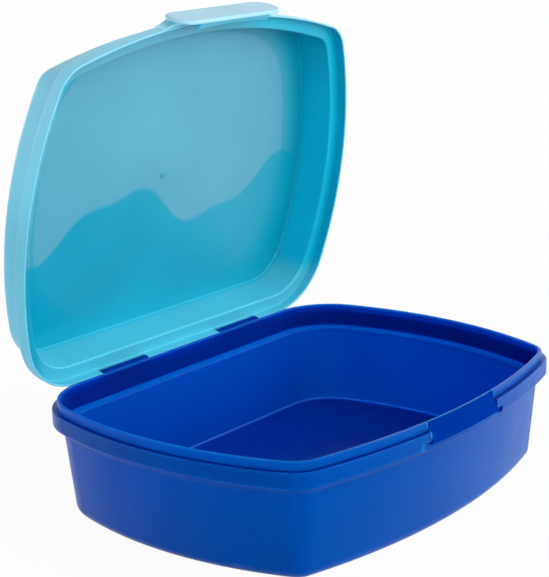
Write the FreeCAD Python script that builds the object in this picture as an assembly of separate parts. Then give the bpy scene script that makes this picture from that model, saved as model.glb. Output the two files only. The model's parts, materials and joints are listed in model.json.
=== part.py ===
import FreeCAD, Part
import math
import os

# Lunch box with a hinged lid and a front clip. Millimetres, +Z up.
# The origin is the middle of the underside. X runs along the box, the clip is on
# the -Y side and the hinge on the +Y side. Every shell follows one plan outline,
# and a section corner is (inset from that outline, height, rounding).

# Plan outline at the rim
BOX_LENGTH = 175.0
BOX_WIDTH = 131.2
END_BULGE_RADIUS = 147.0
END_BULGE_SHIFT = 7.6
FRONT_BULGE_RADIUS = 239.0
BACK_CORNER_RADIUS = 26.0

# Base tub
BASE_HEIGHT = 42.4
BASE_WALL = 1.7
FLOOR_THICKNESS = 2.6
WALL_FOOT_INSET = 6.8
WALL_TOP_INSET = 3.7
FOOT_ROUND = 4.0
FLOOR_ROUND = 0.8
FLOOR_CORNER_RADIUS = 4.2
BAND_HEIGHT = 5.5
BAND_SLOPE_HEIGHT = 3.0
LIP_HEIGHT = 3.0
LIP_WALL = 1.4
INNER_STEP_DROP = 0.9
INNER_STEP_SLOPE = 0.5

# Lid
FLANGE_THICKNESS = 1.6
LID_REVEAL = 0.8
SKIRT_WALL = 0.8
LID_WALL = 1.5
LID_WALL_INSET = 5.3
LID_WALL_DRAFT = 1.5
LID_RISE = 13.7
PANEL_THICKNESS = 1.6
LID_EDGE_ROUND = 3.8
LID_INNER_ROUND = 0.9
FLANGE_EDGE_ROUND = 1.3
REST_OPENING = 78.7

# Label on the lid
LABEL_END_MARGIN = 20.0
LABEL_FRONT_MARGIN = 11.0
LABEL_BACK_MARGIN = 15.0
LABEL_FRONT_CORNER = 14.0
LABEL_BACK_CORNER = 30.0
LABEL_THICKNESS = 0.2

# Hinge hooks and bars
HINGE_INSET = 13.2
HINGE_WINDOW = 24.0
BAR_RADIUS = 1.0
HOOK_WALL = 1.05
HOOK_STEM = 0.85
HOOK_TIP_DROP = 0.4
CHEEK_WIDTH = 2.2
CHEEK_HEIGHT = 3.0

# Front catch
CATCH_LENGTH = 40.0
CATCH_POCKET_DEPTH = 1.5
CATCH_EDGE_HEIGHT = 1.2
CATCH_STAND_OUT = 0.3
CATCH_RAISE = 1.2
CATCH_LIP_LEFT = 0.5
CATCH_NOTCH = 4.0

# Front clip
CLIP_LENGTH = 54.0
CLIP_FOOT = 0.4
CLIP_WALL = 1.3
CLIP_END_FLAT = 0.8
CLIP_EDGE_ROUND = 0.8
CLIP_HOOK_HEIGHT = 2.0
HOOK_END_GAP = 1.5
TONGUE_LENGTH = 42.0
TONGUE_FLARE = 9.0
TONGUE_BURY = 3.0
TONGUE_CORNER_ROUND = 3.0
TONGUE_HEIGHT = 4.6

# Clearances
SEAT_GAP = 0.3
SKIRT_CLEARANCE = 0.25
LIP_HEADROOM = 1.2
RUN_CLEARANCE = 0.05
SIDE_CLEARANCE = 0.3
HOOK_CLEARANCE = 0.4
LABEL_GAP = 0.05

# Small roundings of moulded edges
SOFT_EDGE = 0.8
FINE_EDGE = 0.3

ORIGIN = FreeCAD.Vector(0, 0, 0)
UP = FreeCAD.Vector(0, 0, 1)
ALONG = FreeCAD.Vector(1, 0, 0)

half_width = BOX_WIDTH / 2

# Heights and insets of the base
ledge_z = BASE_HEIGHT - LIP_HEIGHT
band_z = ledge_z - BAND_HEIGHT
wall_top_z = band_z - BAND_SLOPE_HEIGHT
step_z = band_z - INNER_STEP_DROP
skirt_inner_inset = LID_REVEAL + SKIRT_WALL
lip_inset = skirt_inner_inset + SKIRT_CLEARANCE
lip_inner_inset = lip_inset + LIP_WALL
lip_round = LIP_WALL / 3
wall_gain = (WALL_FOOT_INSET - WALL_TOP_INSET) / wall_top_z
floor_inset = WALL_FOOT_INSET - wall_gain * FLOOR_THICKNESS + BASE_WALL
floor_flat_inset = max(floor_inset + FLOOR_ROUND, WALL_FOOT_INSET + FOOT_ROUND)
front_corner_radius = FLOOR_CORNER_RADIUS + floor_flat_inset

# Heights and insets of the lid when it is shut
skirt_z = ledge_z + SEAT_GAP
flange_under_z = BASE_HEIGHT + LIP_HEADROOM
flange_top_z = flange_under_z + FLANGE_THICKNESS
lid_top_z = flange_top_z + LID_RISE
panel_under_z = lid_top_z - PANEL_THICKNESS
lid_edge_inset = LID_WALL_INSET + LID_WALL_DRAFT
lid_flat_inset = lid_edge_inset + LID_WALL + LID_EDGE_ROUND
skirt_round = SKIRT_WALL / 2
label_length = BOX_LENGTH - 2 * LABEL_END_MARGIN
label_width = BOX_WIDTH - LABEL_FRONT_MARGIN - LABEL_BACK_MARGIN
label_y = (LABEL_FRONT_MARGIN - LABEL_BACK_MARGIN) / 2

# Hinge axis, along X through the bars
lip_y = half_width - lip_inset
skirt_y = half_width - LID_REVEAL
hook_bore = BAR_RADIUS + RUN_CLEARANCE
hook_radius = hook_bore + HOOK_WALL
hinge_y = lip_y + HOOK_STEM + hook_bore
hinge_z = skirt_z + BAR_RADIUS

# Catch on the base
catch_under_z = band_z + CATCH_RAISE
catch_edge_z = catch_under_z + CATCH_EDGE_HEIGHT
scoop_top_z = BASE_HEIGHT - CATCH_LIP_LEFT
scoop_top_inset = lip_inner_inset - CATCH_LIP_LEFT

# Clip, when the lid is shut
clip_top_z = flange_top_z + FINE_EDGE
hook_top_z = catch_under_z - HOOK_CLEARANCE
hook_bottom_z = hook_top_z - CLIP_HOOK_HEIGHT
clip_bottom_z = hook_bottom_z - CLIP_FOOT
clip_height = clip_top_z - clip_bottom_z
clip_end_radius = clip_height / 2 - CLIP_END_FLAT
tongue_front_y = -(half_width + CATCH_STAND_OUT)
clip_axis_y = tongue_front_y - SIDE_CLEARANCE / 2
clip_back_y = tongue_front_y - SIDE_CLEARANCE
clip_front_y = clip_back_y - CLIP_WALL
clip_middle_y = clip_back_y - CLIP_WALL / 2
clip_axis_z = clip_top_z - CLIP_WALL / 2
tongue_bottom_z = clip_axis_z - TONGUE_HEIGHT

# Reach of a cut that passes right through a rim
cut_reach = lid_top_z


def tangent_centre(first, first_reach, second, second_reach):
    """Return the lower right point at these distances from two centres."""
    gap = second - first
    along = (first_reach ** 2 - second_reach ** 2 + gap.Length ** 2) / (2 * gap.Length)
    side = math.sqrt(first_reach ** 2 - along ** 2)
    unit = FreeCAD.Vector(gap).normalize()
    across = FreeCAD.Vector(unit.y, -unit.x, 0)
    foot = first + unit * along
    return max((foot + across * side, foot - across * side), key=lambda point: point.x - point.y)


def angle_of(vector):
    """Return the plan angle of a vector, in degrees."""
    return math.degrees(math.atan2(vector.y, vector.x))


def plan_outline(length, width, end_radius, end_shift, front_radius, front_corner, back_corner):
    """Return the plan as arcs (centre, radius, first angle, turn), then half the straight back."""
    end = FreeCAD.Vector(length / 2 - end_radius, end_shift, 0)
    front = FreeCAD.Vector(0, front_radius - width / 2, 0)
    fore = tangent_centre(end, end_radius - front_corner, front, front_radius - front_corner)
    rear_y = width / 2 - back_corner
    rear_x = end.x + math.sqrt((end_radius - back_corner) ** 2 - (rear_y - end_shift) ** 2)
    rear = FreeCAD.Vector(rear_x, rear_y, 0)
    front_turn = angle_of(fore - front)
    end_first = angle_of(fore - end)
    end_last = angle_of(rear - end)
    right = [
        (fore, front_corner, front_turn, end_first - front_turn),
        (end, end_radius, end_first, end_last - end_first),
        (rear, back_corner, end_last, 90 - end_last),
    ]
    left = []
    for centre, radius, first, turn in right:
        left.append((FreeCAD.Vector(-centre.x, centre.y, 0), radius, 180 - first - turn, turn))
    middle = (front, front_radius, -180 - front_turn, 2 * front_turn + 180)
    return [middle] + right + left[::-1], rear_x


PLAN, back_half = plan_outline(
    BOX_LENGTH, BOX_WIDTH, END_BULGE_RADIUS, END_BULGE_SHIFT, FRONT_BULGE_RADIUS,
    front_corner_radius, BACK_CORNER_RADIUS)
FRONT_CENTRE = PLAN[0][0]
hinge_middle = back_half - HINGE_INSET - HINGE_WINDOW / 2


def rounded_wire(corners):
    """Return a closed wire through (point, rounding) corners."""
    edges = []
    ends = []
    for index, (point, rounding) in enumerate(corners):
        before = (corners[index - 1][0] - point).normalize()
        after = (corners[(index + 1) % len(corners)][0] - point).normalize()
        if rounding == 0:
            ends.append((point, point, None))
            continue
        half = before.getAngle(after) / 2
        reach = rounding / math.tan(half)
        bisector = (before + after).normalize()
        middle = point + bisector * (rounding / math.sin(half) - rounding)
        ends.append((point + before * reach, point + after * reach, middle))
    for index, (first, last, middle) in enumerate(ends):
        if middle is not None:
            edges.append(Part.Arc(first, middle, last).toShape())
        edges.append(Part.LineSegment(last, ends[(index + 1) % len(ends)][0]).toShape())
    return Part.Wire(edges)


def section_face(section, radius):
    """Return the face of a section, standing in XZ with its outline point at this radius."""
    corners = [(FreeCAD.Vector(radius - inset, 0, z), rounding) for inset, z, rounding in section]
    return Part.Face(rounded_wire(corners))


def solid_of(shape):
    """Return the shape as one clean solid with outward faces."""
    clean = shape.removeSplitter()
    solids = clean.Solids
    if len(solids) != 1:
        raise ValueError("expected one solid, got %d" % len(solids))
    solid = solids[0]
    if solid.Volume < 0:
        solid.reverse()
    return solid


def swept(section, centre, radius, first, turn):
    """Return a section carried round one arc of the plan."""
    face = section_face(section, radius)
    face.rotate(ORIGIN, UP, first)
    solid = face.revolve(ORIGIN, UP, turn)
    solid.translate(centre)
    return solid


def shell_of(section, plate_inset, plate_z, plate_thickness):
    """Return a section carried round the whole plan, closed by a flat plate."""
    pieces = [swept(section, *arc) for arc in PLAN]
    face = section_face(section, half_width)
    face.rotate(ORIGIN, UP, 90)
    face.translate(ALONG * back_half)
    pieces.append(face.extrude(ALONG * (-2 * back_half)))
    pieces.append(plan_plate(PLAN, back_half, plate_inset, plate_z, plate_thickness))
    return solid_of(pieces[0].multiFuse(pieces[1:]))


def plan_plate(plan, back, inset, z, thickness):
    """Return a flat plate inside a plan outline."""
    edges = []
    for centre, radius, first, turn in plan:
        circle = Part.Circle(centre, UP, radius - inset)
        edges.append(Part.Arc(circle, math.radians(first), math.radians(first + turn)).toShape())
    back_y = edges[3].Vertexes[-1].Point.y
    ends = (FreeCAD.Vector(back, back_y, 0), FreeCAD.Vector(-back, back_y, 0))
    edges.append(Part.LineSegment(*ends).toShape())
    wire = Part.Wire(Part.__sortEdges__(edges))
    plate = Part.Face(wire).extrude(UP * thickness)
    plate.translate(UP * z)
    return plate


def front_sweep(section, length):
    """Return a section carried along the bulged front, centred, of this length."""
    reach = math.degrees(math.asin(length / 2 / FRONT_BULGE_RADIUS))
    return swept(section, FRONT_CENTRE, FRONT_BULGE_RADIUS, -90 - reach, 2 * reach)


def block(x_from, x_to, y_from, y_to, z_from, z_to):
    """Return a box between two corners."""
    corner = FreeCAD.Vector(x_from, y_from, z_from)
    return Part.makeBox(x_to - x_from, y_to - y_from, z_to - z_from, corner)


def rod(radius, x_from, x_to):
    """Return a rod on the hinge axis."""
    start = FreeCAD.Vector(x_from, hinge_y, hinge_z)
    return Part.makeCylinder(radius, x_to - x_from, start, ALONG)


def base_tub():
    """Drafted tub with its outer band, upright lip and cuts for the catch and its end notches."""
    section = [
        (floor_flat_inset, 0, 0),
        (WALL_FOOT_INSET, 0, FOOT_ROUND),
        (WALL_TOP_INSET, wall_top_z, SOFT_EDGE),
        (0, band_z, SOFT_EDGE),
        (0, ledge_z, FINE_EDGE),
        (lip_inset, ledge_z, 0),
        (lip_inset, BASE_HEIGHT, lip_round),
        (lip_inner_inset, BASE_HEIGHT, lip_round),
        (lip_inner_inset, step_z, FINE_EDGE),
        (WALL_TOP_INSET + BASE_WALL, step_z - INNER_STEP_SLOPE, SOFT_EDGE),
        (floor_inset, FLOOR_THICKNESS, FLOOR_ROUND),
        (floor_flat_inset, FLOOR_THICKNESS, 0),
    ]
    tub = shell_of(section, floor_flat_inset, 0, FLOOR_THICKNESS)
    seat = [
        (-cut_reach, 0, 0),
        (CATCH_POCKET_DEPTH, 0, 0),
        (CATCH_POCKET_DEPTH, catch_under_z, 0),
        (scoop_top_inset, catch_under_z, 0),
        (scoop_top_inset, cut_reach, 0),
        (-cut_reach, cut_reach, 0),
    ]
    pocket = [
        (-cut_reach, 0, 0),
        (CATCH_POCKET_DEPTH, 0, 0),
        (CATCH_POCKET_DEPTH, catch_edge_z, 0),
        (-cut_reach, catch_edge_z, 0),
    ]
    tub = tub.cut(front_sweep(seat, CATCH_LENGTH))
    return solid_of(tub.cut(front_sweep(pocket, CATCH_LENGTH + 2 * CATCH_NOTCH)))


def front_catch():
    """Ledge that the clip's hook grips, with a sloping top and a flat underside."""
    section = [
        (scoop_top_inset, catch_under_z, 0),
        (-CATCH_STAND_OUT, catch_under_z, FINE_EDGE),
        (-CATCH_STAND_OUT, catch_edge_z, FINE_EDGE),
        (scoop_top_inset, scoop_top_z, 0),
    ]
    return solid_of(front_sweep(section, CATCH_LENGTH))


def hinge_span(side):
    """Return the two X ends of the hinge window on one side."""
    middle = side * hinge_middle
    return middle - HINGE_WINDOW / 2, middle + HINGE_WINDOW / 2


def hinge_hook(side):
    """Hook on the base's back ledge that wraps over a bar of the lid."""
    x_from, x_to = hinge_span(side)
    x_from += SIDE_CLEARANCE
    x_to -= SIDE_CLEARANCE
    ring = rod(hook_radius, x_from, x_to)
    stem = block(x_from, x_to, lip_y, hinge_y, ledge_z, hinge_z + HOOK_WALL)
    hook = ring.fuse(stem).cut(rod(hook_bore, x_from, x_to))
    mouth = block(x_from, x_to, hinge_y - hook_bore, cut_reach + hinge_y, 0, hinge_z - HOOK_TIP_DROP)
    foot = block(x_from, x_to, 0, hinge_y, 0, ledge_z)
    lip = block(x_from, x_to, 0, lip_y, 0, cut_reach)
    return solid_of(hook.cut(mouth).cut(foot).cut(lip))


def hinge_bar(side):
    """Bar of the lid across a hinge window, with a cheek at each end."""
    x_from, x_to = hinge_span(side)
    bar = rod(BAR_RADIUS, x_from, x_to)
    for start in (x_from - CHEEK_WIDTH, x_to):
        end = start + CHEEK_WIDTH
        cheek = rod(BAR_RADIUS, start, end)
        post = block(start, end, skirt_y, hinge_y + BAR_RADIUS, hinge_z, hinge_z + CHEEK_HEIGHT)
        inside = block(start, end, 0, skirt_y, 0, lid_top_z)
        bar = bar.fuse(cheek.fuse(post).cut(inside))
    return solid_of(bar)


def label_plate(gap, z, thickness):
    """Plate of the label's outline, grown all round by a gap."""
    plan, back = plan_outline(
        label_length, label_width, END_BULGE_RADIUS - LABEL_END_MARGIN, END_BULGE_SHIFT - label_y,
        FRONT_BULGE_RADIUS - LABEL_FRONT_MARGIN, LABEL_FRONT_CORNER, LABEL_BACK_CORNER)
    plate = plan_plate(plan, back, -gap, z, thickness)
    plate.translate(FreeCAD.Vector(0, label_y, 0))
    return plate


def lid_shell():
    """Lid with a flat panel, drafted wall and a rim flange, open at the hinge windows."""
    section = [
        (lid_flat_inset, lid_top_z, 0),
        (lid_edge_inset, lid_top_z, LID_EDGE_ROUND),
        (LID_WALL_INSET, flange_top_z, SOFT_EDGE),
        (LID_REVEAL, flange_top_z, FLANGE_EDGE_ROUND),
        (LID_REVEAL, skirt_z, FINE_EDGE),
        (skirt_inner_inset, skirt_z, skirt_round),
        (skirt_inner_inset, flange_under_z, FINE_EDGE),
        (LID_WALL_INSET + LID_WALL, flange_under_z, SOFT_EDGE),
        (lid_edge_inset + LID_WALL, panel_under_z, LID_INNER_ROUND),
        (lid_flat_inset, panel_under_z, 0),
    ]
    shell = shell_of(section, lid_flat_inset, panel_under_z, PANEL_THICKNESS)
    window_top = hinge_z + hook_radius + SIDE_CLEARANCE
    inner_y = half_width - skirt_inner_inset - FINE_EDGE
    for side in (-1, 1):
        x_from, x_to = hinge_span(side)
        window = block(x_from, x_to, inner_y, hinge_y + cut_reach, 0, window_top)
        shell = shell.cut(window)
    pocket = label_plate(LABEL_GAP, lid_top_z - LABEL_THICKNESS - LABEL_GAP, cut_reach)
    return solid_of(shell.cut(pocket))


def lid_label():
    """Thin printed label, flush with the lid's top."""
    return solid_of(label_plate(0, lid_top_z - LABEL_THICKNESS, LABEL_THICKNESS))


def clip_tongue():
    """Root shelf on the lid's front that the clip flexes on, flared where it joins the lid."""
    front_half = TONGUE_LENGTH / 2
    root_half = front_half + TONGUE_FLARE
    root_y = TONGUE_BURY - half_width
    corners = []
    for x, y, rounding in (
            (front_half, tongue_front_y, TONGUE_CORNER_ROUND),
            (-front_half, tongue_front_y, TONGUE_CORNER_ROUND),
            (-root_half, root_y, 0),
            (root_half, root_y, 0)):
        corners.append((FreeCAD.Vector(x, y, tongue_bottom_z), rounding))
    shelf = Part.Face(rounded_wire(corners)).extrude(UP * TONGUE_HEIGHT)
    lid_body = Part.makeCylinder(FRONT_BULGE_RADIUS - LID_REVEAL, lid_top_z, FRONT_CENTRE)
    return solid_of(shelf.cut(lid_body))


def clip_flap():
    """Flat plate with round ends and a softened front edge."""
    corners = []
    for x_side, z in ((1, clip_top_z), (-1, clip_top_z), (-1, clip_bottom_z), (1, clip_bottom_z)):
        point = FreeCAD.Vector(x_side * CLIP_LENGTH / 2, clip_front_y, z)
        corners.append((point, clip_end_radius))
    plate = Part.Face(rounded_wire(corners)).extrude(FreeCAD.Vector(0, CLIP_WALL, 0))
    front_edges = [edge for edge in plate.Edges if edge.BoundBox.YMax < clip_middle_y]
    return plate.makeFillet(CLIP_EDGE_ROUND, front_edges)


def front_clip():
    """Clip: a flap that hangs from the tongue, with a hook inside its lower edge."""
    hook_tip = CATCH_POCKET_DEPTH - HOOK_CLEARANCE
    section = [
        (hook_tip, hook_top_z, FINE_EDGE),
        (hook_tip, hook_top_z - CLIP_HOOK_HEIGHT / 2, FINE_EDGE),
        (hook_tip - CLIP_HOOK_HEIGHT, hook_bottom_z, 0),
        (-cut_reach, hook_bottom_z, 0),
        (-cut_reach, hook_top_z, 0),
    ]
    hook = front_sweep(section, CATCH_LENGTH - 2 * HOOK_END_GAP)
    ahead = block(-BOX_LENGTH, BOX_LENGTH, -BOX_LENGTH, clip_middle_y, 0, lid_top_z)
    return solid_of(clip_flap().fuse(hook.cut(ahead)))


def opened(shape):
    """Swing a piece of the shut lid to the opening that the box stands at."""
    axis_point = FreeCAD.Vector(0, hinge_y, hinge_z)
    shape.rotate(axis_point, -ALONG, REST_OPENING)
    return shape


def pieces():
    """Return every piece by name, in the pose the box stands in."""
    named = {
        "base_tub": base_tub(),
        "front_catch": front_catch(),
        "hinge_hook_left": hinge_hook(-1),
        "hinge_hook_right": hinge_hook(1),
        "lid_shell": opened(lid_shell()),
        "lid_label": opened(lid_label()),
        "hinge_bar_left": opened(hinge_bar(-1)),
        "hinge_bar_right": opened(hinge_bar(1)),
        "clip_tongue": opened(clip_tongue()),
        "front_clip": opened(front_clip()),
    }
    return named


os.makedirs("parts", exist_ok=True)
for name, shape in pieces().items():
    shape.exportStep("parts/%s.step" % name)
    box = shape.BoundBox
    print("%s: %.1f x %.1f x %.1f mm, %.2f cm3" % (
        name, box.XLength, box.YLength, box.ZLength, shape.Volume / 1000))
axis_start = FreeCAD.Vector(0, clip_axis_y - hinge_y, clip_axis_z - hinge_z)
turn = FreeCAD.Rotation(-ALONG, REST_OPENING)
axis_point = FreeCAD.Vector(0, hinge_y, hinge_z) + turn.multVec(axis_start)
print("lid hinge axis at y %.4f z %.4f" % (hinge_y, hinge_z))
print("clip axis at y %.4f z %.4f" % (axis_point.y, axis_point.z))
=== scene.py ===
import json
import math

import bmesh
import bpy
from mathutils import Matrix, Vector


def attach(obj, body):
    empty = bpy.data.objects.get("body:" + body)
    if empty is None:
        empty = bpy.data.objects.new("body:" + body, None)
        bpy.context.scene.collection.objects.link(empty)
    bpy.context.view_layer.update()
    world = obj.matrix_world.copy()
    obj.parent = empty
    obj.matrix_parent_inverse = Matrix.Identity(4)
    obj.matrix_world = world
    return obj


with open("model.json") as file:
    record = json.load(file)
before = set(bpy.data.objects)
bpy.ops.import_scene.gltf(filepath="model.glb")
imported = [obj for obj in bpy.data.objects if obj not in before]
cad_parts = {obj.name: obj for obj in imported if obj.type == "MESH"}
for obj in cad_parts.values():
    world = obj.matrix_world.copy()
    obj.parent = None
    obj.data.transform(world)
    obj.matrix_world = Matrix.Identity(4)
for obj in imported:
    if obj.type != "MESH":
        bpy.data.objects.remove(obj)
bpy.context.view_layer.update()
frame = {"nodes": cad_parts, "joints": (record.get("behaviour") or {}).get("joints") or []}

bl_info = {
    "name": "Lunch box",
    "version": (1, 0, 0),
    "blender": (4, 5, 0),
    "location": "View3D > Sidebar > Lunch box",
    "description": "Dresses a hinged lunch box and sets its studio stage",
    "category": "Object",
}

# Metres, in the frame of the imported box: X along the box, the clip towards -Y, +Z up.
# Sizes and places on the lid are given with the lid shut, and LID_TURN opens it as it stands.
MM = 0.001

JOINTS = {joint["name"]: joint for joint in frame["joints"]}
HINGE = Vector(JOINTS["lid_hinge"]["pos_m"])
LID_OPENING = math.radians(-JOINTS["lid_hinge"]["range_deg"][0])
LID_TURN = (Matrix.Translation(HINGE) @ Matrix.Rotation(-LID_OPENING, 4, "X")
            @ Matrix.Translation(-HINGE))

# Levels of the tub and the lid, and a point in the hollow of each as it stands
FLOOR_Z = 2.6 * MM
STEP_Z = 33.0 * MM
RIM_Z = 42.4 * MM
LID_EDGE_Z = 39.7 * MM
FLANGE_Z = 43.6 * MM
PANEL_Z = 57.3 * MM
CLIP_BACK_Y = -66.2 * MM
TUB_CENTRE = Vector((0, 0, RIM_Z))
LID_CENTRE = LID_TURN @ Vector((0, 0, 35 * MM))

# Heights over which one colour of the tub passes into the next: into the floor's painted shade, the
# floor seam's painted highlight, the step's painted highlight and the lip's painted shade
FLOOR_FADE = (FLOOR_Z + 0.3 * MM, FLOOR_Z + 0.7 * MM)
SEAM_START = (FLOOR_Z + 0.05 * MM, FLOOR_Z + 0.2 * MM)
SEAM_END = (FLOOR_Z + 0.6 * MM, FLOOR_Z + 0.9 * MM)
STEP_START = (STEP_Z - 0.8 * MM, STEP_Z - 0.3 * MM)
LIP_START = (STEP_Z + 0.3 * MM, STEP_Z + 0.9 * MM)
LIP_END = (RIM_Z - 0.9 * MM, RIM_Z - 0.4 * MM)

# Heights over which one colour of the lid passes into the next: the rim edge's painted highlight, the
# end wall's painted light, the walls' painted light and the bare panel's painted shade
EDGE_FADE = (LID_EDGE_Z + 0.1 * MM, LID_EDGE_Z + 0.5 * MM)
FLANGE_FADE = (FLANGE_Z, FLANGE_Z + MM)
WALL_FADE = (PANEL_Z - 2 * MM, PANEL_Z - 0.3 * MM)
PANEL_FADE = (PANEL_Z - 0.6 * MM, PANEL_Z - 0.2 * MM)

# The same across the lid, along X, and in its depth, along Y
LEFT_FADE = (-76 * MM, -68 * MM)
RIGHT_FADE = (70 * MM, 78 * MM)
FRONT_RUN_FADE = (-5 * MM, 35 * MM)
FRONT_FADE = (-52 * MM, -44 * MM)
BACK_FADE = (46 * MM, 54 * MM)
OUTER_FADE = (-55 * MM, -5 * MM)
HOOK_FADE = (CLIP_BACK_Y, CLIP_BACK_Y + 0.3 * MM)

# Cosine between a face and the way out of a hollow, over which the face turns from inner to outer
FACING_FADE = (-0.05, 0.05)

# Outline of the label: its corners, and the bulge of its ends and of its front
LABEL_FRONT_CORNER = 14 * MM
LABEL_BACK_CORNER = 30 * MM
LABEL_CORNER_FADE = (-20 * MM, 20 * MM)
LABEL_END_RADIUS = 127 * MM
LABEL_END_SHIFT = 7.6 * MM
LABEL_FRONT_RADIUS = 228 * MM

# Waves of the label's print, and how it shows through the lid
SWELL_LENGTH = 92 * MM
SWELL_HEIGHT = 9 * MM
RIPPLE_LENGTH = 37 * MM
RIPPLE_HEIGHT = 2.5 * MM
WAVE_LEVEL = 12 * MM
PRINT_BLUR = 0.15 * MM
SEEN_THROUGH_BLUR = 1.2 * MM
HALO_FADE = (-2 * MM, 11 * MM)
HALO_SHARE = 0.5

# Unevenness of a moulded skin: broad shades of its tint, and streaks of its dullness
NOISE_RANGE = (0.3, 0.7)
SHADE_SIZE = 45 * MM
SHADE_DETAIL = 1.0
SHADE_RANGE = (0.94, 1.05)
STREAK_SIZE = 12 * MM
STREAK_RANGE = (-0.03, 0.03)

# Gloss of the plastics, and how far each colour of light spreads in the tub's wall
PLASTIC_IOR = 1.49
TUB_GLOSS = 0.16
TUB_GLOSS_TINT = (0.02, 0.2, 0.8, 1.0)
TUB_SCATTER_REACH = (0.1, 0.6, 1.0)
CATCH_GLOSS = 0.0
CATCH_ROUGHNESS = 0.6
LID_GLOSS_TINT = (0.45, 0.85, 1.0, 1.0)

# The gate mark: its middle, and the radius and height of its section in millimetres, from the
# panel's inside to the tip of its nub
GATE = Vector((-2.9 * MM, -0.7 * MM, PANEL_Z))
GATE_SECTION = ((0, 0.2), (1.6, 0.2), (1.6, 0.0), (1.5, -0.12), (1.25, -0.2), (0.8, -0.2),
                (0.55, -0.13), (0.4, -0.2), (0.3, -0.34), (0.15, -0.4), (0, -0.41))
GATE_STEPS = 24
MERGE_DISTANCE = 0.001 * MM

# The stage: the photograph's width in pixels, the light's fall above the horizon by the sine of the
# height, the front light's height and its fall by the cosine from its middle, and the pale floor
PHOTO_WIDTH = 549
HORIZON_FADE = (0.0, 0.57)
FRONT_LIGHT_HEIGHT = math.radians(35)
FRONT_LIGHT_FADE = (0.5, 0.95)
WHITE = (1, 1, 1, 1)
STAGE_REACH = 3.0
STAGE_Z = -0.05 * MM
STAGE_ROUGHNESS = 0.9
STAGE_GLOW = 0.95


def shut_box(node):
    """Return the lowest and highest corner of a node of the lid, with the lid turned shut."""
    shut = LID_TURN.inverted()
    points = [shut @ vertex.co for vertex in frame["nodes"][node].data.vertices]
    return [Vector([pick(point[axis] for point in points) for axis in range(3)]) for pick in (min, max)]


LABEL_LOW, LABEL_HIGH = shut_box("lid_label")


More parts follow.
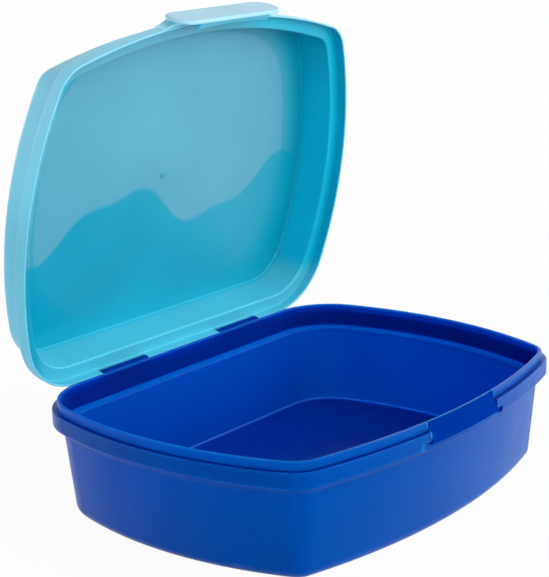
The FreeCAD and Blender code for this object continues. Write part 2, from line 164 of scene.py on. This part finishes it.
class LunchBoxFinish(bpy.types.PropertyGroup):
    """Colours, among them painted light and shade, and surface finish of the two mouldings and the
    label.
    """

    tub_colour: bpy.props.FloatVectorProperty(
        name="Tub", description="Colour of the opaque tub",
        subtype="COLOR", size=3, min=0, max=1, default=(0.0, 0.057, 0.35))
    # Painted light: the outer wall gets a lighter, greener copy of the tub's colour, for the light that
    # falls on it
    tub_outer_lit_colour: bpy.props.FloatVectorProperty(
        name="Tub outside", description="Colour of the tub's outer wall",
        subtype="COLOR", size=3, min=0, max=1, default=(0.0, 0.074, 0.345))
    # Painted shade: a darker colour on the tub's floor, which gets less light than the walls
    tub_floor_shade_colour: bpy.props.FloatVectorProperty(
        name="Tub floor", description="Colour of the tub's thicker floor",
        subtype="COLOR", size=3, min=0, max=1, default=(0.0, 0.033, 0.385))
    # Painted shade: a darker colour on the inner face of the tub's lip
    lip_shade_colour: bpy.props.FloatVectorProperty(
        name="Tub lip", description="Colour of the inner face of the tub's lip",
        subtype="COLOR", size=3, min=0, max=1, default=(0.0, 0.016, 0.21))
    # Painted highlight: a lighter colour on the step under the tub's lip
    step_highlight_colour: bpy.props.FloatVectorProperty(
        name="Tub step", description="Colour of the step under the tub's lip",
        subtype="COLOR", size=3, min=0, max=1, default=(0.0, 0.11, 0.48))
    # Painted highlight: a lighter line along the rounding between the floor and the wall
    seam_highlight_colour: bpy.props.FloatVectorProperty(
        name="Floor seam", description="Colour of the rounding between the tub's floor and wall",
        subtype="COLOR", size=3, min=0, max=1, default=(0.03, 0.16, 0.55))
    # Painted shade: the catch and the hinge hooks get a darker copy of the tub's colour
    catch_shade_colour: bpy.props.FloatVectorProperty(
        name="Catch", description="Colour of the catch and the hinge hooks",
        subtype="COLOR", size=3, min=0, max=1, default=(0.0, 0.028, 0.28))
    tub_roughness: bpy.props.FloatProperty(
        name="Tub roughness", description="How dull the tub's skin is",
        subtype="FACTOR", min=0, max=1, default=0.32)
    lid_colour: bpy.props.FloatVectorProperty(
        name="Lid", description="Colour of the milky lid",
        subtype="COLOR", size=3, min=0, max=1, default=(0.0, 0.44, 0.64))
    # Painted shade: a darker copy of the lid's colour on the bare panel beside the label
    panel_shade_colour: bpy.props.FloatVectorProperty(
        name="Lid panel", description="Colour of the lid's panel beside the label",
        subtype="COLOR", size=3, min=0, max=1, default=(0.0, 0.345, 0.50))
    # Painted light: a brighter colour on the end wall at +X, for light that comes through it
    lid_side_glow_colour: bpy.props.FloatVectorProperty(
        name="Lid end", description="Colour of the lid's end wall at +X, which lets light through",
        subtype="COLOR", size=3, min=0, max=1, default=(0.0, 0.56, 0.80))
    # Painted sheen: paler colours on the lid's matte outer skin and on its rim's free edge, palest by
    # the clip
    lid_outer_sheen_colour: bpy.props.FloatVectorProperty(
        name="Lid outside", description="Colour of the lid's outer skin, towards the hinge",
        subtype="COLOR", size=3, min=0, max=1, default=(0.155, 0.60, 0.81))
    lid_front_sheen_colour: bpy.props.FloatVectorProperty(
        name="Lid front", description="Colour of the lid's outer skin by the clip",
        subtype="COLOR", size=3, min=0, max=1, default=(0.23, 0.63, 0.81))
    # Painted light and sheen: a lighter, paler colour on the lid's wall and rim by the hinge, which face
    # the light above
    lid_back_lit_colour: bpy.props.FloatVectorProperty(
        name="Lid back", description="Colour of the lid's wall and rim by the hinge",
        subtype="COLOR", size=3, min=0, max=1, default=(0.065, 0.49, 0.65))
    # Painted light and sheen: a pale colour on the clip's flap
    clip_lit_colour: bpy.props.FloatVectorProperty(
        name="Clip", description="Colour of the clip's flap",
        subtype="COLOR", size=3, min=0, max=1, default=(0.31, 0.62, 0.78))
    # Painted shade: a deeper colour on the hook, which the flap shades
    hook_shade_colour: bpy.props.FloatVectorProperty(
        name="Clip hook", description="Colour of the clip's hook, which the flap shades",
        subtype="COLOR", size=3, min=0, max=1, default=(0.05, 0.47, 0.66))
    # Painted light: a bright colour on the tongue, for light that comes through it under the flap
    tongue_glow_colour: bpy.props.FloatVectorProperty(
        name="Tongue", description="Colour of the tongue, which light passes through",
        subtype="COLOR", size=3, min=0, max=1, default=(0.36, 0.88, 1.0))
    gate_colour: bpy.props.FloatVectorProperty(
        name="Gate mark", description="Colour of the mark that the mould's gate leaves",
        subtype="COLOR", size=3, min=0, max=1, default=(0.045, 0.36, 0.47))
    lid_roughness: bpy.props.FloatProperty(
        name="Lid roughness", description="How dull the lid's skin is",
        subtype="FACTOR", min=0, max=1, default=0.34)
    scatter: bpy.props.FloatProperty(
        name="Scatter", description="Share of light that spreads inside the tub's wall",
        subtype="FACTOR", min=0, max=1, default=1.0)
    tub_scatter_depth: bpy.props.FloatProperty(
        name="Tub scatter depth", description="How far light spreads in the tub's wall",
        unit="LENGTH", min=0, default=10 * MM)
    grain_size: bpy.props.FloatProperty(
        name="Grain", description="Size of the fine moulded grain",
        unit="LENGTH", min=0, default=0.35 * MM)
    grain_depth: bpy.props.FloatProperty(
        name="Grain depth", description="Depth of the fine moulded grain",
        unit="LENGTH", min=0, default=0.006 * MM)
    film_colour: bpy.props.FloatVectorProperty(
        name="Label inside", description="Ground colour of the label, seen through the lid",
        subtype="COLOR", size=3, min=0, max=1, default=(0.10, 0.39, 0.52))
    wave_colour: bpy.props.FloatVectorProperty(
        name="Waves inside", description="Colour of the label's waves, seen through the lid",
        subtype="COLOR", size=3, min=0, max=1, default=(0.012, 0.35, 0.505))
    label_colour: bpy.props.FloatVectorProperty(
        name="Label", description="Ground colour of the label's print",
        subtype="COLOR", size=3, min=0, max=1, default=(0.20, 0.56, 0.74))
    print_colour: bpy.props.FloatVectorProperty(
        name="Waves", description="Colour of the label's printed waves",
        subtype="COLOR", size=3, min=0, max=1, default=(0.012, 0.40, 0.62))


class LunchBoxStage(bpy.types.PropertyGroup):
    """Camera and light of the studio stage."""

    azimuth: bpy.props.FloatProperty(
        name="Azimuth", description="Camera's turn about Z, from the front",
        subtype="ANGLE", default=math.radians(-49.74))
    elevation: bpy.props.FloatProperty(
        name="Elevation", description="Camera's height angle",
        subtype="ANGLE", default=math.radians(15.01))
    roll: bpy.props.FloatProperty(
        name="Roll", description="Camera's turn about its own line of sight",
        subtype="ANGLE", default=math.radians(-1.71))
    distance: bpy.props.FloatProperty(
        name="Distance", description="From the aimed point to the camera",
        unit="LENGTH", min=0, default=0.5516)
    target: bpy.props.FloatVectorProperty(
        name="Target", description="Point that the camera aims at",
        subtype="TRANSLATION", unit="LENGTH", size=3, default=(-0.02136, 0, 0.07889))
    focal_pixels: bpy.props.FloatProperty(
        name="Focal length", description="Focal length in pixels of the photograph",
        min=1, default=1591.7)
    horizon_light: bpy.props.FloatProperty(
        name="Horizon light", description="Strength of the white surround at the level of the box",
        min=0, default=2.4)
    front_light: bpy.props.FloatProperty(
        name="Front light", description="Strength of the broad soft light before the box",
        min=0, default=1.8)
    front_azimuth: bpy.props.FloatProperty(
        name="Front azimuth", description="Turn of the front light about Z, from the front",
        subtype="ANGLE", default=math.radians(20))
    floor_colour: bpy.props.FloatVectorProperty(
        name="Floor", description="Colour of the floor",
        subtype="COLOR", size=3, min=0, max=1, default=(0.92, 0.92, 0.92))


def is_socket(value):
    """Tell a node's socket from a plain value."""
    return isinstance(value, bpy.types.NodeSocket)


def rgba(colour):
    """Return a plain colour with its alpha, and a socket as it is."""
    return colour if is_socket(colour) else tuple(colour) + (1.0,)


class Nodes:
    """Short calls for adding and linking the nodes of one tree."""

    def __init__(self, tree):
        self.tree = tree

    def add(self, kind, **settings):
        """Add a node and set its plain properties."""
        node = self.tree.nodes.new(kind)
        for name, value in settings.items():
            setattr(node, name, value)
        return node

    def feed(self, socket, value):
        """Link a socket, or set its value."""
        if is_socket(value):
            self.tree.links.new(value, socket)
        else:
            socket.default_value = value

    def coordinates(self, name):
        """Return an output of a Texture Coordinate node."""
        return self.add("ShaderNodeTexCoord").outputs[name]

    def parts(self, vector):
        """Return the X, Y and Z of a vector."""
        node = self.add("ShaderNodeSeparateXYZ")
        self.feed(node.inputs[0], vector)
        return tuple(node.outputs)

    def math(self, operation, first, second=0.0):
        """Add a Math node."""
        node = self.add("ShaderNodeMath", operation=operation)
        for socket, value in zip(node.inputs, (first, second)):
            self.feed(socket, value)
        return node.outputs[0]

    def vector(self, operation, first, second):
        """Add a Vector Math node on two vectors."""
        node = self.add("ShaderNodeVectorMath", operation=operation)
        self.feed(node.inputs[0], first)
        self.feed(node.inputs[1], second)
        return node.outputs["Value" if operation == "DOT_PRODUCT" else "Vector"]

    def times(self, first, *others):
        """Multiply masks."""
        for other in others:
            first = self.math("MULTIPLY", first, other)
        return first

    def length(self, first, second):
        """Return the length of a plan vector."""
        squares = [self.math("MULTIPLY", part, part) for part in (first, second)]
        return self.math("SQRT", self.math("ADD", *squares))

    def ramp(self, value, low, high, to_low=0.0, to_high=1.0):
        """Add a smooth Map Range node."""
        node = self.add("ShaderNodeMapRange", interpolation_type="SMOOTHSTEP")
        for name, given in (("Value", value), ("From Min", low), ("From Max", high),
                            ("To Min", to_low), ("To Max", to_high)):
            self.feed(node.inputs[name], given)
        return node.outputs[0]

    def rise(self, value, fade):
        """Return a mask that goes from 0 to 1 over a fade."""
        return self.ramp(value, *fade)

    def fall(self, value, fade):
        """Return a mask that goes from 1 to 0 over a fade."""
        return self.ramp(value, *fade, 1.0, 0.0)

    def mix(self, factor, first, second):
        """Mix two colours."""
        node = self.add("ShaderNodeMix", data_type="RGBA")
        sockets = {socket.identifier: socket for socket in (*node.inputs, *node.outputs)}
        self.feed(sockets["Factor_Float"], factor)
        self.feed(sockets["A_Color"], rgba(first))
        self.feed(sockets["B_Color"], rgba(second))
        return sockets["Result_Color"]

    def noise(self, vector, size, detail=2.0):
        """Add a noise of a feature size in metres."""
        scale = self.math("DIVIDE", 1.0, size) if is_socket(size) else 1.0 / size
        node = self.add("ShaderNodeTexNoise")
        self.feed(node.inputs["Vector"], vector)
        self.feed(node.inputs["Scale"], scale)
        self.feed(node.inputs["Detail"], detail)
        return node.outputs["Fac"]


def new_group(name, inputs, outputs):
    """Return a new shader group with its named sockets, its input node and its output node."""
    group = bpy.data.node_groups.new(name, "ShaderNodeTree")
    for kind, sockets in (("INPUT", inputs), ("OUTPUT", outputs)):
        for socket, data in sockets:
            group.interface.new_socket(name=socket, in_out=kind, socket_type=data)
    nodes = Nodes(group)
    return nodes, nodes.add("NodeGroupInput").outputs, nodes.add("NodeGroupOutput").inputs


def moulded_skin_group(name):
    """Group: the uneven tint, dullness and fine grain of a moulded skin."""
    nodes, given, result = new_group(
        name,
        [("Vector", "NodeSocketVector"), ("Colour", "NodeSocketColor"), ("Roughness", "NodeSocketFloat"),
         ("Grain Size", "NodeSocketFloat")],
        [("Colour", "NodeSocketColor"), ("Roughness", "NodeSocketFloat"), ("Height", "NodeSocketFloat")])
    broad = nodes.noise(given["Vector"], SHADE_SIZE, SHADE_DETAIL)
    shade = nodes.ramp(broad, *NOISE_RANGE, *SHADE_RANGE)
    tint = nodes.add("ShaderNodeVectorMath", operation="SCALE")
    nodes.feed(tint.inputs[0], given["Colour"])
    nodes.feed(tint.inputs["Scale"], shade)
    streak = nodes.ramp(nodes.noise(given["Vector"], STREAK_SIZE), *NOISE_RANGE, *STREAK_RANGE)
    nodes.feed(result["Colour"], tint.outputs[0])
    nodes.feed(result["Roughness"], nodes.math("ADD", given["Roughness"], streak))
    nodes.feed(result["Height"], nodes.noise(given["Vector"], given["Grain Size"]))
    return nodes.tree


def lid_place(nodes, vector):
    """Return across, depth and height in the frame of the shut lid."""
    lid = nodes.add("ShaderNodeMapping", vector_type="TEXTURE")
    nodes.feed(lid.inputs["Vector"], vector)
    nodes.feed(lid.inputs["Location"], HINGE)
    nodes.feed(lid.inputs["Rotation"], (-LID_OPENING, 0, 0))
    across, depth, height = nodes.parts(lid.outputs[0])
    return across, nodes.math("ADD", depth, HINGE.y), nodes.math("ADD", height, HINGE.z)


def wave(nodes, across, length, height):
    """Return a wave across the lid, of a given length and height."""
    turn = nodes.math("MULTIPLY", across, 2 * math.pi / length)
    return nodes.math("MULTIPLY", nodes.math("SINE", turn), height)


def label_print_group(name):
    """Group: masks of the label's outline, of its halo and of the waves printed on it."""
    nodes, given, result = new_group(
        name,
        [("Vector", "NodeSocketVector"), ("Blur", "NodeSocketFloat")],
        [("Film", "NodeSocketFloat"), ("Halo", "NodeSocketFloat"), ("Wave", "NodeSocketFloat")])
    across, depth = lid_place(nodes, given["Vector"])[:2]
    end_x = nodes.math("ADD", nodes.math("ABSOLUTE", across), LABEL_END_RADIUS - LABEL_HIGH.x)
    end_y = nodes.math("SUBTRACT", depth, LABEL_END_SHIFT)
    end = nodes.math("SUBTRACT", nodes.length(end_x, end_y), LABEL_END_RADIUS)
    front_y = nodes.math("SUBTRACT", depth, LABEL_FRONT_RADIUS + LABEL_LOW.y)
    front = nodes.math("SUBTRACT", nodes.length(across, front_y), LABEL_FRONT_RADIUS)
    back = nodes.math("SUBTRACT", depth, LABEL_HIGH.y)
    corner = nodes.ramp(depth, *LABEL_CORNER_FADE, LABEL_FRONT_CORNER, LABEL_BACK_CORNER)
    over_x = nodes.math("MAXIMUM", nodes.math("ADD", end, corner), 0.0)
    over_y = nodes.math("MAXIMUM", nodes.math("ADD", nodes.math("MAXIMUM", front, back), corner), 0.0)
    beyond = nodes.math("SUBTRACT", nodes.length(over_x, over_y), corner)
    within = nodes.math("MULTIPLY", given["Blur"], -1.0)
    nodes.feed(result["Film"], nodes.fall(beyond, (within, 0.0)))
    nodes.feed(result["Halo"], nodes.fall(beyond, HALO_FADE))
    swell = wave(nodes, across, SWELL_LENGTH, SWELL_HEIGHT)
    ripple = wave(nodes, across, RIPPLE_LENGTH, RIPPLE_HEIGHT)
    crest = nodes.math("ADD", nodes.math("ADD", swell, ripple), WAVE_LEVEL)
    nodes.feed(result["Wave"], nodes.rise(nodes.math("SUBTRACT", depth, crest), (within, given["Blur"])))
    return nodes.tree


def group_node(nodes, name, build, place):
    """Place a shader group, built at its first use, on a material's coordinates."""
    group = bpy.data.node_groups.get(name) or build(name)
    node = nodes.add("ShaderNodeGroup", node_tree=group)
    nodes.feed(node.inputs["Vector"], place)
    return node


def label_masks(nodes, place, blur):
    """Return the outputs of the label's print with a blur of its own."""
    label = group_node(nodes, "label_print", label_print_group, place)
    nodes.feed(label.inputs["Blur"], blur)
    return label.outputs


def outer_mask(nodes, place, centre):
    """Return 1 on faces that look away from a centre in a hollow."""
    away = nodes.add("ShaderNodeVectorMath", operation="NORMALIZE")
    nodes.feed(away.inputs[0], nodes.vector("SUBTRACT", place, centre))
    facing = nodes.vector("DOT_PRODUCT", away.outputs["Vector"], nodes.coordinates("Normal"))
    return nodes.rise(facing, FACING_FADE)


def new_material(name):
    """Return a material, its nodes and its Principled shader."""
    material = bpy.data.materials.new(name)
    material.use_nodes = True
    return material, Nodes(material.node_tree), material.node_tree.nodes["Principled BSDF"]


def lay_skin(nodes, shader, place, finish, colour, roughness):
    """Give a shader the moulded skin's tint, dullness and fine grain."""
    skin = group_node(nodes, "moulded_skin", moulded_skin_group, place)
    nodes.feed(skin.inputs["Colour"], rgba(colour))
    nodes.feed(skin.inputs["Roughness"], roughness)
    nodes.feed(skin.inputs["Grain Size"], finish.grain_size)
    bump = nodes.add("ShaderNodeBump")
    nodes.feed(bump.inputs["Height"], skin.outputs["Height"])
    nodes.feed(bump.inputs["Distance"], finish.grain_depth)
    nodes.feed(bump.inputs["Strength"], 1.0)
    nodes.feed(shader.inputs["Base Color"], skin.outputs["Colour"])
    nodes.feed(shader.inputs["Roughness"], skin.outputs["Roughness"])
    nodes.feed(shader.inputs["Normal"], bump.outputs[0])


def tub_material(finish):
    """Opaque deep blue polypropylene, with painted shade on its floor and on its lip's inner face,
    painted highlights on its step and floor seam, and a lighter painted-light colour on its outer wall.
    """
    material, nodes, shader = new_material("blue_polypropylene")
    place = nodes.coordinates("Object")
    height = nodes.parts(place)[2]
    outside = outer_mask(nodes, place, TUB_CENTRE)
    inside = nodes.math("SUBTRACT", 1.0, outside)
    # Painted shade on the inner face of the lip
    lip = nodes.times(inside, nodes.rise(height, LIP_START), nodes.fall(height, LIP_END))
    # Painted highlight on the step under the lip
    step = nodes.times(inside, nodes.rise(height, STEP_START), nodes.fall(height, LIP_START))
    # Painted highlight along the rounding between the floor and the wall
    seam = nodes.times(inside, nodes.rise(height, SEAM_START), nodes.fall(height, SEAM_END))
    # Painted shade: the floor takes the darker floor colour
    colour = nodes.mix(nodes.fall(height, FLOOR_FADE), finish.tub_colour, finish.tub_floor_shade_colour)
    # Painted light: the outer wall takes a lighter copy of the tub's colour
    colour = nodes.mix(outside, colour, finish.tub_outer_lit_colour)
    colour = nodes.mix(lip, colour, finish.lip_shade_colour)
    colour = nodes.mix(step, colour, finish.step_highlight_colour)
    colour = nodes.mix(seam, colour, finish.seam_highlight_colour)
    lay_skin(nodes, shader, place, finish, colour, finish.tub_roughness)
    shader.inputs["IOR"].default_value = PLASTIC_IOR
    shader.inputs["Specular IOR Level"].default_value = TUB_GLOSS
    shader.inputs["Specular Tint"].default_value = TUB_GLOSS_TINT
    shader.inputs["Subsurface Weight"].default_value = finish.scatter
    shader.inputs["Subsurface Radius"].default_value = TUB_SCATTER_REACH
    shader.inputs["Subsurface Scale"].default_value = finish.tub_scatter_depth
    return material


def catch_material(finish):
    """Deep blue polypropylene of the catch and the hinge hooks, without gloss, and with painted shade in
    a darker colour.
    """
    material, nodes, shader = new_material("dull_shaded_blue_polypropylene")
    lay_skin(nodes, shader, nodes.coordinates("Object"), finish, finish.catch_shade_colour, CATCH_ROUGHNESS)
    shader.inputs["Specular IOR Level"].default_value = CATCH_GLOSS
    return material


def lid_material(finish):
    """Milky cyan polypropylene; the label shows through its panel. Painted light brightens its end wall,
    its back wall and its near walls, painted sheen pales its outer skin and rim edge, and painted shade
    darkens its bare panel.
    """
    material, nodes, shader = new_material("cyan_polypropylene")
    place = nodes.coordinates("Object")
    label = label_masks(nodes, place, SEEN_THROUGH_BLUR)
    shown = nodes.mix(label["Wave"], finish.film_colour, finish.wave_colour)
    across, depth, height = lid_place(nodes, place)
    wall = nodes.fall(height, WALL_FADE)
    # Painted light on the end wall at +X, for light that comes through it
    right = nodes.times(wall, nodes.rise(across, RIGHT_FADE), nodes.rise(height, FLANGE_FADE))
    # Painted light and sheen on the wall and rim by the hinge
    back = nodes.times(wall, nodes.rise(depth, BACK_FADE))
    # Painted light: the walls near the front and the left take the label's colour seen through the lid,
    # for light that comes through them from behind
    front = nodes.times(nodes.fall(depth, FRONT_FADE), nodes.fall(across, FRONT_RUN_FADE))
    near = nodes.times(wall, nodes.math("MAXIMUM", nodes.fall(across, LEFT_FADE), front))
    # Painted shade: the bare panel takes a darker copy of the lid's colour
    colour = nodes.mix(nodes.rise(height, PANEL_FADE), finish.lid_colour, finish.panel_shade_colour)
    colour = nodes.mix(right, colour, finish.lid_side_glow_colour)
    colour = nodes.mix(back, colour, finish.lid_back_lit_colour)
    colour = nodes.mix(near, colour, shown)
    colour = nodes.mix(nodes.times(label["Halo"], HALO_SHARE), colour, shown)
    colour = nodes.mix(label["Film"], colour, shown)
    # Painted sheen on the matte outer skin, and a painted highlight on the rim's free edge
    edge = nodes.fall(height, EDGE_FADE)
    outside = nodes.math("MAXIMUM", outer_mask(nodes, place, LID_CENTRE), edge)
    outer = nodes.mix(nodes.rise(depth, OUTER_FADE), finish.lid_front_sheen_colour, finish.lid_outer_sheen_colour)
    colour = nodes.mix(outside, colour, outer)
    lay_skin(nodes, shader, place, finish, colour, finish.lid_roughness)
    shader.inputs["IOR"].default_value = PLASTIC_IOR
    shader.inputs["Specular Tint"].default_value = LID_GLOSS_TINT
    return material


def clip_material(finish):
    """Thin cyan polypropylene of the clip, pale with painted light and sheen on its flap, and deeper
    with painted shade on the hook behind it.
    """
    material, nodes, shader = new_material("thin_cyan_polypropylene")
    place = nodes.coordinates("Object")
    depth = lid_place(nodes, place)[1]
    # Painted light and sheen on the flap, painted shade on the hook behind it
    colour = nodes.mix(nodes.rise(depth, HOOK_FADE), finish.clip_lit_colour, finish.hook_shade_colour)
    lay_skin(nodes, shader, place, finish, colour, finish.lid_roughness)
    shader.inputs["IOR"].default_value = PLASTIC_IOR
    return material


def thin_material(name, finish, colour):
    """Thin cyan polypropylene of one colour, as on the tongue, whose colour is painted light that comes
    through it, and on the gate mark.
    """
    material, nodes, shader = new_material(name)
    lay_skin(nodes, shader, nodes.coordinates("Object"), finish, colour, finish.lid_roughness)
    shader.inputs["IOR"].default_value = PLASTIC_IOR
    return material


def label_material(finish):
    """Printed film with plain waves."""
    material, nodes, shader = new_material("label_film")
    place = nodes.coordinates("Object")
    label = label_masks(nodes, place, PRINT_BLUR)
    colour = nodes.mix(label["Wave"], finish.label_colour, finish.print_colour)
    lay_skin(nodes, shader, place, finish, colour, finish.lid_roughness)
    return material


def finish_node(name, material):
    """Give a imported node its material."""
    mesh = frame["nodes"][name].data
    mesh.materials.clear()
    mesh.materials.append(material)


def add_gate_mark(material):
    """Add the low round mark that the mould's gate leaves inside the lid's panel."""
    mesh = bpy.data.meshes.new("gate_mark")
    form = bmesh.new()
    section = [form.verts.new((radius * MM, 0, height * MM)) for radius, height in GATE_SECTION]
    lines = [form.edges.new(pair) for pair in zip(section, section[1:])]
    bmesh.ops.spin(form, geom=section + lines, axis=(0, 0, 1), angle=2 * math.pi, steps=GATE_STEPS)
    bmesh.ops.remove_doubles(form, verts=form.verts, dist=MERGE_DISTANCE)
    bmesh.ops.recalc_face_normals(form, faces=form.faces)
    bmesh.ops.transform(form, matrix=LID_TURN @ Matrix.Translation(GATE), verts=form.verts)
    form.to_mesh(mesh)
    form.free()
    mesh.shade_smooth()
    mesh.materials.append(material)
    piece = bpy.data.objects.new("gate_mark", mesh)
    bpy.context.collection.objects.link(piece)
    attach(piece, "lid")


class LUNCHBOX_OT_dress_tub(bpy.types.Operator):
    """Finish the tub, its catch and its hinge hooks"""

    bl_idname = "lunchbox.dress_tub"
    bl_label = "Tub"

    def execute(self, context):
        finish = context.scene.lunch_box_finish
        finish_node("base_tub", tub_material(finish))
        material = catch_material(finish)
        for name in ("front_catch", "hinge_hook_left", "hinge_hook_right"):
            finish_node(name, material)
        return {"FINISHED"}


class LUNCHBOX_OT_dress_lid(bpy.types.Operator):
    """Finish the lid, its hinge bars, its tongue and the clip, and add the gate mark"""

    bl_idname = "lunchbox.dress_lid"
    bl_label = "Lid"

    def execute(self, context):
        finish = context.scene.lunch_box_finish
        material = lid_material(finish)
        for name in ("lid_shell", "hinge_bar_left", "hinge_bar_right"):
            finish_node(name, material)
        finish_node("front_clip", clip_material(finish))
        # Painted light on the tongue, for light that comes through it
        finish_node("clip_tongue", thin_material("lit_cyan_polypropylene", finish, finish.tongue_glow_colour))
        add_gate_mark(thin_material("gate_cyan_polypropylene", finish, finish.gate_colour))
        return {"FINISHED"}


class LUNCHBOX_OT_print_label(bpy.types.Operator):
    """Finish the label on the lid"""

    bl_idname = "lunchbox.print_label"
    bl_label = "Label"

    def execute(self, context):
        finish_node("lid_label", label_material(context.scene.lunch_box_finish))
        return {"FINISHED"}


def turned(azimuth, elevation):
    """Return the direction at an angle about Z from the front, and at a height angle."""
    flat = math.cos(elevation)
    return Vector((math.sin(azimuth) * flat, -math.cos(azimuth) * flat, math.sin(elevation)))


def add_camera(stage):
    """Add the camera of the photograph's view."""
    back = turned(stage.azimuth, stage.elevation)
    right = back.cross(Vector((0, 0, -1))).normalized()
    up = back.cross(right)
    turned_right = right * math.cos(stage.roll) + up * math.sin(stage.roll)
    turned_up = up * math.cos(stage.roll) - right * math.sin(stage.roll)
    axes = Matrix((turned_right, turned_up, back)).transposed()
    camera = bpy.data.objects.new("camera", bpy.data.cameras.new("camera"))
    stand = Vector(stage.target) + back * stage.distance
    camera.matrix_world = Matrix.Translation(stand) @ axes.to_4x4()
    camera.data.sensor_fit = "HORIZONTAL"
    camera.data.lens = stage.focal_pixels * camera.data.sensor_width / PHOTO_WIDTH
    bpy.context.collection.objects.link(camera)
    bpy.context.scene.camera = camera


def camera_white(nodes):
    """Return 1 for rays that show the background."""
    path = nodes.add("ShaderNodeLightPath")
    first = nodes.math("MAXIMUM", path.outputs["Is Camera Ray"], path.outputs["Is Glossy Ray"])
    return nodes.math("MAXIMUM", first, path.outputs["Is Transmission Ray"])


def set_world(stage):
    """White surround that lights softly and shows as white."""
    world = bpy.data.worlds.new("surround")
    world.use_nodes = True
    nodes = Nodes(world.node_tree)
    background = world.node_tree.nodes["Background"]
    background.inputs["Color"].default_value = WHITE
    way = nodes.coordinates("Generated")
    ring = nodes.ramp(nodes.parts(way)[2], *HORIZON_FADE, stage.horizon_light, 0.0)
    aim = nodes.vector("DOT_PRODUCT", way, turned(stage.front_azimuth, FRONT_LIGHT_HEIGHT))
    front = nodes.ramp(aim, *FRONT_LIGHT_FADE, 0.0, stage.front_light)
    light = nodes.math("ADD", ring, front)
    nodes.feed(background.inputs["Strength"], nodes.math("MAXIMUM", light, camera_white(nodes)))
    bpy.context.scene.world = world


def add_floor(stage):
    """Pale floor under the box."""
    mesh = bpy.data.meshes.new("floor")
    sides = ((-1, -1), (1, -1), (1, 1), (-1, 1))
    corners = [(x * STAGE_REACH, y * STAGE_REACH, STAGE_Z) for x, y in sides]
    mesh.from_pydata(corners, [], [range(len(corners))])
    floor = bpy.data.objects.new("floor", mesh)
    material, nodes, shader = new_material("pale_floor")
    shader.inputs["Base Color"].default_value = rgba(stage.floor_colour)
    shader.inputs["Roughness"].default_value = STAGE_ROUGHNESS
    glow = nodes.add("ShaderNodeEmission")
    blend = nodes.add("ShaderNodeMixShader")
    nodes.feed(blend.inputs[0], nodes.times(camera_white(nodes), STAGE_GLOW))
    nodes.feed(blend.inputs[1], shader.outputs[0])
    nodes.feed(blend.inputs[2], glow.outputs[0])
    nodes.feed(material.node_tree.nodes["Material Output"].inputs["Surface"], blend.outputs[0])
    mesh.materials.append(material)
    bpy.context.collection.objects.link(floor)


class LUNCHBOX_OT_set_stage(bpy.types.Operator):
    """Set the floor, the lights and the camera"""

    bl_idname = "lunchbox.set_stage"
    bl_label = "Stage"

    def execute(self, context):
        stage = context.scene.lunch_box_stage
        add_floor(stage)
        set_world(stage)
        add_camera(stage)
        context.scene.view_settings.view_transform = "Standard"
        return {"FINISHED"}


class LUNCHBOX_PT_panel(bpy.types.Panel):
    """Lists the lunch box's settings and operators"""

    bl_idname = "LUNCHBOX_PT_panel"
    bl_label = "Lunch box"
    bl_space_type = "VIEW_3D"
    bl_region_type = "UI"
    bl_category = "Lunch box"

    def draw(self, context):
        for settings in (context.scene.lunch_box_finish, context.scene.lunch_box_stage):
            for name in settings.__annotations__:
                self.layout.prop(settings, name)
        for operator in OPERATORS:
            self.layout.operator(operator.bl_idname)


OPERATORS = (LUNCHBOX_OT_dress_tub, LUNCHBOX_OT_dress_lid, LUNCHBOX_OT_print_label,
             LUNCHBOX_OT_set_stage)
CLASSES = (LunchBoxFinish, LunchBoxStage) + OPERATORS + (LUNCHBOX_PT_panel,)


def register():
    """Register the classes and their settings."""
    for cls in CLASSES:
        bpy.utils.register_class(cls)
    bpy.types.Scene.lunch_box_finish = bpy.props.PointerProperty(type=LunchBoxFinish)
    bpy.types.Scene.lunch_box_stage = bpy.props.PointerProperty(type=LunchBoxStage)


def unregister():
    """Remove the settings and the classes."""
    del bpy.types.Scene.lunch_box_stage
    del bpy.types.Scene.lunch_box_finish
    for cls in reversed(CLASSES):
        bpy.utils.unregister_class(cls)


def main():
    """Build the dressed box."""
    register()
    bpy.ops.lunchbox.dress_tub()
    bpy.ops.lunchbox.dress_lid()
    bpy.ops.lunchbox.print_label()
    bpy.ops.lunchbox.set_stage()


if __name__ == "__main__":
    main()
